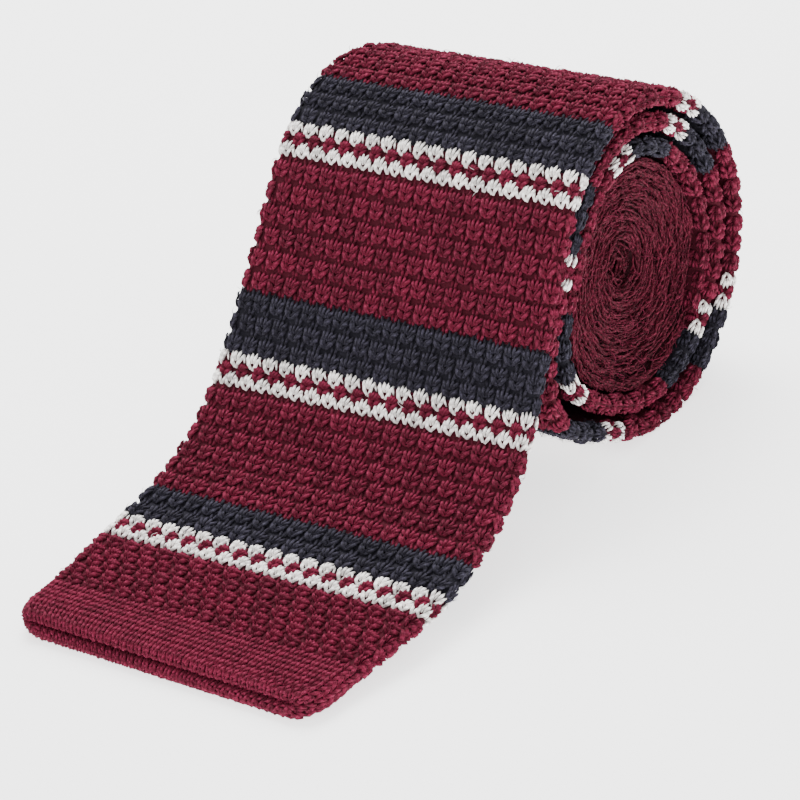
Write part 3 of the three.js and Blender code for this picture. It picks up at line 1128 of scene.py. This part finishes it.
def studio():
    bpy.ops.mesh.primitive_plane_add(size=FLOOR_SIZE, location=(0, 0, 0))
    floor = bpy.context.active_object
    floor.name = "floor"
    paint = bpy.data.materials.new("pale floor")
    paint.use_nodes = True
    shader = paint.node_tree.nodes["Principled BSDF"]
    shader.inputs["Base Color"].default_value = (0.93, 0.93, 0.93, 1)
    shader.inputs["Roughness"].default_value = 0.9
    shader.inputs["Emission Color"].default_value = (1, 1, 1, 1)
    shader.inputs["Emission Strength"].default_value = FLOOR_GLOW
    floor.data.materials.append(paint)
    world = bpy.data.worlds.new("studio")
    bpy.context.scene.world = world
    world.use_nodes = True
    sky = world.node_tree.nodes["Background"]
    sky.inputs["Color"].default_value = (1, 1, 1, 1)
    sky.inputs["Strength"].default_value = SKY_STRENGTH
    for name, place, size, power in LAMPS:
        data = bpy.data.lights.new(name, "AREA")
        data.size = size
        data.energy = power
        lamp = make_object(name, data)
        lamp.matrix_world = aimed(place, place, np.cross((0, 0, 1), place))


# The wall of the cloth under its stitches, darker than they are with painted shade: its depth turns it to the
# root colour
def wall_mesh(name, rings, faces, material, shade):
    spots = np.concatenate(rings)
    mesh = make_mesh(name, spots * MM, faces, material)
    set_attribute(mesh, "depth", np.full(len(spots), shade))
    set_attribute(mesh, "tone", np.full(len(spots), WALL_TONE))
    return mesh


# The knitted ground, from the hem to the end of the blade: one tube with a thin wall
def ground(bands):
    rows = [HEM_LENGTH - GROUND_UNDER_HEM]
    tints = []
    for colour, _, start, end in bands:
        count = max(1, math.ceil((end - start) / GROUND_STEP))
        rows += list(np.linspace(start + GROUND_END_GAP, end - GROUND_END_GAP, count + 1))
        tints += [int(colour == "navy")] * (count + 1)
    columns = GROUND_COLUMNS
    along, around = np.meshgrid(rows, np.arange(columns) * COLUMNS / columns, indexing="ij")
    from_fold = smooth_step(columns_from_fold(around) / FOLD_EASE_COLUMNS)
    half = blade_thickness(along) / 2
    outside = np.minimum(mix(FOLD_GROUND_DEPTH, GROUND_DEPTH, from_fold), half - GROUND_LEAST)
    inside = np.minimum(outside + GROUND_WALL, half - SLIT_LEAST)
    walls = [on_blade(along, around, -depth).reshape(-1, 3) for depth in (outside, inside)]
    offset = len(rows) * columns
    outer = ring_faces(len(rows), columns)
    inner = ring_faces(len(rows), columns, offset)[:, ::-1]
    ring = np.arange(columns)
    beside = (ring + 1) % columns
    last = offset - columns
    foot = np.stack([ring, ring + offset, beside + offset, beside], -1)
    head = np.stack([last + ring, last + beside, last + beside + offset, last + ring + offset], -1)
    faces = np.concatenate([outer, inner, foot, head])
    mesh = wall_mesh("tie_ground", walls, faces, BURGUNDY, WALL_SHADE)
    mesh.materials.append(NAVY)
    tint_of_face = np.repeat(tints, columns)
    indices = np.zeros(len(mesh.polygons), np.int32)
    indices[: 2 * len(outer)] = np.tile(tint_of_face, 2)
    mesh.polygons.foreach_set("material_index", indices)
    return finished(make_object("tie_ground", mesh))


def hem():
    columns = np.arange(FINE_COLUMNS)
    places = np.arange(HEM_TOP - HEM_WALL_BELOW_TOP, HEM_INSIDE, -HEM_WALL_STEP)
    rings = [on_hem(place, columns, -FINE_DEPTH) for place in places]
    closed = ring_faces(len(rings) + 1, FINE_COLUMNS) % (len(rings) * FINE_COLUMNS)
    wall = wall_mesh("hem_knit wall", rings, closed, BURGUNDY, WALL_SHADE)
    courses = np.arange(HEM_TOP - COURSE / 2, HEM_INSIDE, -COURSE)
    place, column = (grid.ravel() for grid in np.meshgrid(courses, columns + 0.5, indexing="ij"))
    half = FINE_COLUMNS / 2
    from_fold = np.minimum(np.abs(column - half), np.minimum(column, FINE_COLUMNS - column))
    shows = (column < half) | (from_fold < HEM_FOLD_COLUMNS) | (place < HEM_UNDER_TO)
    place = place[shows]
    column = column[shows]
    frames = frames_on(lambda s, c: on_hem(s, c, -STITCH_SINK), place, column)
    size = np.ones((len(place), 3))
    size[:, 0] = column_pitch(np.maximum(place, 0), FINE_COLUMNS) / FINE_STITCH_WIDTH
    kind = CHANCE.integers(0, FINE_KINDS, len(place))
    knit = stitches(
        "hem_knit", FINE_SHAPES, frames, size, kind, BURGUNDY, sway=0.08, unevenness=0.08, seed=7
    )
    made = finished(joined("hem_knit", [knit, wall]))
    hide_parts("hem_band")
    return made


def neck():
    start = BLADE_END + NECK_END_GAP
    end = TIE_LENGTH - NECK_END_GAP
    half = NECK_COLUMNS / 2
    fold = np.linspace(-NECK_FOLD_REACH, NECK_FOLD_REACH, 5)
    flat = half * np.array([1, 2]) / 3
    ring = np.concatenate([fold, flat, half + fold, half + flat])
    rings = [on_neck(row, ring, NECK_SWELL, NECK_INSET) for row in np.arange(start, end, NECK_ROW_STEP)]
    ends = [np.repeat(wall.mean(0, keepdims=True), len(ring), 0) for wall in (rings[0], rings[-1])]
    rings = [ends[0], *rings, ends[1]]
    faces = ring_faces(len(rings), len(ring))
    wall = wall_mesh("neck_knit wall", rings, faces, SHADED_NECK_BURGUNDY, NECK_WALL_SHADE)
    along = []
    column = []
    for edge, per_mm in ((0, RIGHT_YARNS_PER_MM), (half, LEFT_YARNS_PER_MM)):
        count = int((end - start) * per_mm)
        along.append(CHANCE.uniform(start + 1, end - 1, count))
        column.append(edge + CHANCE.uniform(-YARN_COLUMNS, YARN_COLUMNS, count))
    along.append(CHANCE.uniform(end - CURLS_ALONG[0], end - CURLS_ALONG[1], CURLS))
    column.append(NECK_COLUMNS - CURLS_FROM_FOLD - CURL_COLUMNS * CHANCE.random(CURLS) ** 2)
    along = np.concatenate(along)
    column = np.concatenate(column)
    rise = CHANCE.uniform(*YARN_RISE, len(along))
    rise[-CURLS:] = CHANCE.uniform(0, CURL_RISE, CURLS)
    _, forward, outward = frames_on(lambda s, c: on_neck(s, c, 0), along, column)
    frames = (on_neck(along, column, rise), forward, outward)
    size = np.ones((len(along), 3)) * CHANCE.uniform(*YARN_SIZES, (len(along), 1))
    kind = CHANCE.integers(0, WRAP_KINDS, len(along))
    yarns = stitches(
        "neck_knit", WRAPS, frames, size, kind, SHADED_NECK_BURGUNDY, sway=0.16, unevenness=0.1, seed=8
    )
    along = CHANCE.uniform(start, end, NECK_HAIRS)
    column = CHANCE.uniform(-NECK_HAIR_COLUMNS, NECK_HAIR_COLUMNS, NECK_HAIRS)
    hairs = fuzz("neck_knit", lambda s, c: on_neck(s, c, -0.2), along, column, NECK_HAIR_LENGTH, BURGUNDY, 9)
    made = finished(joined("neck_knit", [yarns, wall, hairs]))
    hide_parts("neck_band")
    return made


camera()
studio()
BANDS = band_lengths()
phase = 0
for seed, (colour, number, start, end) in enumerate(BANDS, 1):
    rows = band_rows(colour, start, end, phase)
    knit_band(colour, number, start, end, rows, seed)
    phase = [row[3] for row in rows if row[4] != "link"][-1]
cloth = ground(BANDS)
hem()
neck()
